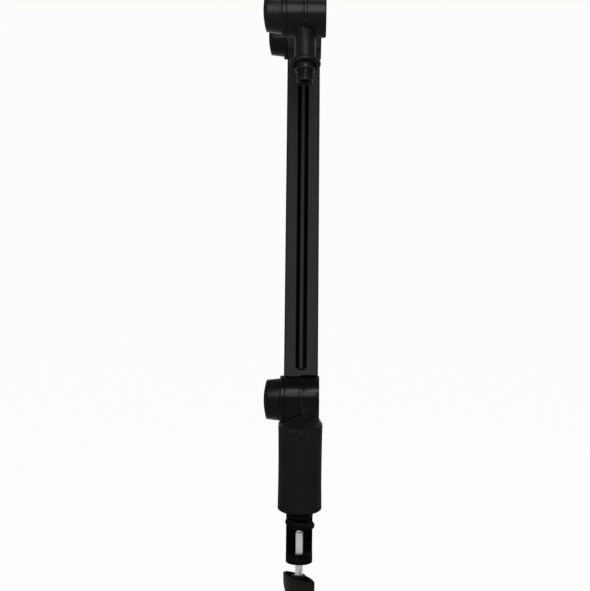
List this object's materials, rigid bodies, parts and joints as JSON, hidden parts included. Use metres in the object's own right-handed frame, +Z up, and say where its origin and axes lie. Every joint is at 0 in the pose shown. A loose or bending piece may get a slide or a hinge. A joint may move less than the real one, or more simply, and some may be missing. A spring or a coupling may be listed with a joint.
{
  "type": "microphone boom arm",
  "caption": "Folding desk boom arm for a microphone: screw clamp, turning riser, slotted arms on knob-tightened hinges, and a tilting head with a threaded stud.",
  "frame": {"origin": "underside of the upper jaw's rubber, where it sits on the desk, on the riser's axis", "axes": "+Z up along the riser, +X along the hinge pins away from the knobs, -Y the way the upper arm reaches"},
  "size_m": [0.0627, 0.4952, 0.6673],
  "materials": {
    "satin_black": "satin black powder coat on aluminium",
    "frame_black": "satin black paint on steel",
    "plastic_black": "satin moulded plastic",
    "bearing_plastic": "plain dark nylon",
    "rubber_black": "matt",
    "bright_steel": "zinc plated",
    "brass": "machined"
  },
  "bodies": {
    "clamp": {"clamp_frame": "frame_black", "jaw_pad": "rubber_black", "swivel_post": "bright_steel", "post_screw": "bright_steel", "thread_bush": "frame_black"},
    "screw_tip": {"ball_tip": "bright_steel"},
    "clamp_screw": {"clamp_rod": "bright_steel", "handle_nut": "frame_black", "clamp_handle": "plastic_black"},
    "swivel_foot": {"foot_plate": "frame_black", "foot_pad": "rubber_black"},
    "riser": {"riser_tube": "satin_black", "riser_head": "satin_black", "lower_bush": "bearing_plastic", "upper_bush": "bearing_plastic", "thrust_washer": "bearing_plastic", "base_bolt": "bright_steel", "base_end_cap": "plastic_black", "base_friction_washer": "bearing_plastic"},
    "lower_arm": {"lower_arm_tube": "satin_black", "lower_arm_hub": "satin_black", "lower_arm_ear": "satin_black", "lower_arm_cable_liner": "plastic_black", "lower_arm_screws": "frame_black", "base_bush": "bearing_plastic", "base_pressure_plate": "frame_black", "base_spring_washer": "bright_steel", "elbow_bolt": "bright_steel", "elbow_end_cap": "plastic_black", "elbow_friction_washer": "bearing_plastic", "base_spring": "bright_steel"},
    "upper_arm": {"upper_arm_tube": "satin_black", "upper_arm_hub": "satin_black", "upper_arm_ear": "satin_black", "upper_arm_cable_liner": "plastic_black", "upper_arm_screws": "frame_black", "elbow_bush": "bearing_plastic", "elbow_pressure_plate": "frame_black", "elbow_spring_washer": "bright_steel", "head_bolt": "bright_steel", "head_end_cap": "plastic_black", "head_friction_washer": "bearing_plastic", "elbow_spring": "bright_steel"},
    "mic_head": {"head_body": "satin_black", "head_flange": "satin_black", "mic_stud": "frame_black", "head_bush": "bearing_plastic", "head_pressure_plate": "frame_black", "head_spring_washer": "bright_steel"},
    "base_knob": {"base_knob": "plastic_black", "base_knob_insert": "brass"},
    "elbow_knob": {"elbow_knob": "plastic_black", "elbow_knob_insert": "brass"},
    "head_knob": {"head_knob": "plastic_black", "head_knob_insert": "brass"}
  },
  "joints": [
    {"name": "riser_swivel", "type": "hinge", "parent": "clamp", "child": "riser", "pos_m": [0, 0, 0.0075], "axis": [0, 0, 1], "continuous": true},
    {"name": "base_tilt", "type": "hinge", "parent": "riser", "child": "lower_arm", "pos_m": [0, 0, 0.127], "axis": [1, 0, 0], "range_deg": [-28.5, 104], "deforming": ["base_spring"]},
    {"name": "elbow_tilt", "type": "hinge", "parent": "lower_arm", "child": "upper_arm", "pos_m": [0, 0.2173, 0.49225], "axis": [1, 0, 0], "range_deg": [-112, 1], "deforming": ["elbow_spring"]},
    {"name": "head_tilt", "type": "hinge", "parent": "upper_arm", "child": "mic_head", "pos_m": [0, -0.20387, 0.54919], "axis": [1, 0, 0], "range_deg": [-180, 57.5]},
    {"name": "base_knob_turn", "type": "hinge", "parent": "riser", "child": "base_knob", "pos_m": [0, 0, 0.127], "axis": [1, 0, 0], "range_deg": [-360, 0]},
    {"name": "elbow_knob_turn", "type": "hinge", "parent": "lower_arm", "child": "elbow_knob", "pos_m": [0, 0.2173, 0.49225], "axis": [1, 0, 0], "range_deg": [-360, 0]},
    {"name": "head_knob_turn", "type": "hinge", "parent": "upper_arm", "child": "head_knob", "pos_m": [0, -0.20387, 0.54919], "axis": [1, 0, 0], "range_deg": [-360, 0]},
    {"name": "clamp_feed", "type": "slide", "parent": "clamp", "child": "screw_tip", "axis": [0, 0, 1], "range_m": [-0.025, 0.003]},
    {"name": "clamp_turn", "type": "hinge", "parent": "screw_tip", "child": "clamp_screw", "pos_m": [0, 0, -0.05], "axis": [0, 0, 1], "range_deg": [-7212, 876]},
    {"name": "foot_swivel", "type": "hinge", "parent": "screw_tip", "child": "swivel_foot", "pos_m": [0, 0, -0.0127], "axis": [0, 1, 0], "range_deg": [-18, 0]}
  ],
  "couplings": [
    {"joint": "clamp_turn", "follows": "clamp_feed", "rad_per_m": 5026.5}
  ]
}
